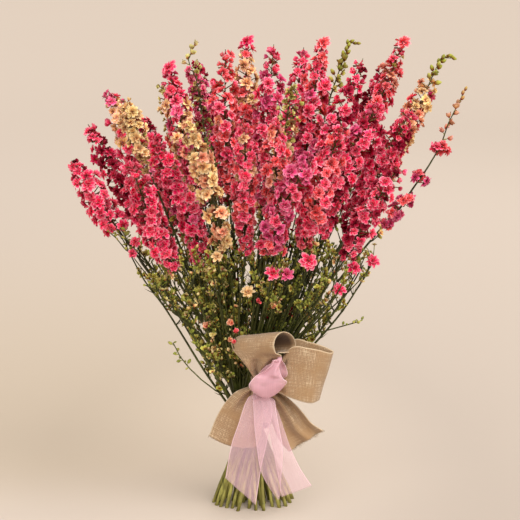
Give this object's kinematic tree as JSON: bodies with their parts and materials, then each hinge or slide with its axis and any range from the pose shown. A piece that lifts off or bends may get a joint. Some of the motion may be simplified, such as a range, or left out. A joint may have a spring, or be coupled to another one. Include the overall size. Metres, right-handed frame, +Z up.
{
  "type": "tied bunch of larkspur flower spikes",
  "caption": "Hand-tied bunch of larkspur flower spikes on long stems, bound at a narrow waist under a burlap bow and a sheer ribbon, standing on its splayed cut ends.",
  "frame": {"origin": "on the floor under the middle of the bunch's bounding box", "axes": "+Z up along the height of the bunch, the bow faces -Y, and +X is to the right seen from the bow's side"},
  "size_m": [0.4982, 0.3018, 0.61],
  "materials": {
    "petals_rose": "matt papery petals, rose pink with paler rims",
    "petals_hot": "matt papery petals, strong pink",
    "petals_deep": "matt papery petals, deep crimson pink",
    "petals_coral": "matt papery petals, coral pink with cream middles",
    "petals_mauve": "matt papery petals, mauve pink",
    "petals_cream": "matt papery petals, cream and straw yellow with pink tints",
    "petals_green": "matt green buds and half-open pink and cream florets",
    "stem_green": "satin olive green stems, thread leaves and buds",
    "twine": "matt twisted fibre",
    "burlap": "matt open plain weave of coarse tan yarn",
    "sheer_ribbon": "sheer pale pink organza with denser edges and a soft sheen"
  },
  "bodies": {
    "root": {"head_01": "petals_rose", "head_02": "petals_deep", "head_03": "petals_rose", "head_04": "petals_deep", "head_05": "petals_hot", "head_06": "petals_cream", "head_07": "petals_hot", "head_08": "petals_cream", "head_09": "petals_cream", "head_10": "petals_deep", "head_11": "petals_rose", "head_12": "petals_green", "head_13": "petals_coral", "head_14": "petals_rose", "head_15": "petals_coral", "head_16": "petals_deep", "head_17": "petals_rose", "head_18": "petals_coral", "head_19": "petals_rose", "head_20": "petals_rose", "head_21": "petals_green", "head_22": "petals_mauve", "head_23": "petals_green", "head_24": "petals_hot", "head_25": "petals_coral", "head_26": "petals_hot", "head_27": "petals_rose", "head_28": "petals_deep", "head_29": "petals_cream", "head_30": "petals_coral", "head_31": "petals_rose", "head_32": "petals_rose", "stem_pair_01": "stem_green", "stem_pair_02": "stem_green", "stem_pair_03": "stem_green", "stem_pair_04": "stem_green", "stem_pair_05": "stem_green", "stem_pair_06": "stem_green", "stem_pair_07": "stem_green", "stem_pair_08": "stem_green", "stem_pair_09": "stem_green", "stem_pair_10": "stem_green", "stem_pair_11": "stem_green", "stem_pair_12": "stem_green", "stem_pair_13": "stem_green", "stem_pair_14": "stem_green", "stem_pair_15": "stem_green", "stem_pair_16": "stem_green", "binding_twine": "twine", "burlap_wrap": "burlap", "burlap_knot": "burlap", "burlap_loop_left": "burlap", "burlap_loop_right": "burlap", "burlap_tail_left": "burlap", "burlap_tail_right": "burlap", "ribbon_knot": "sheer_ribbon", "ribbon_loop": "sheer_ribbon", "ribbon_tail_left": "sheer_ribbon", "ribbon_tail_centre": "sheer_ribbon", "ribbon_tail_right": "sheer_ribbon"}
  },
  "joints": []
}
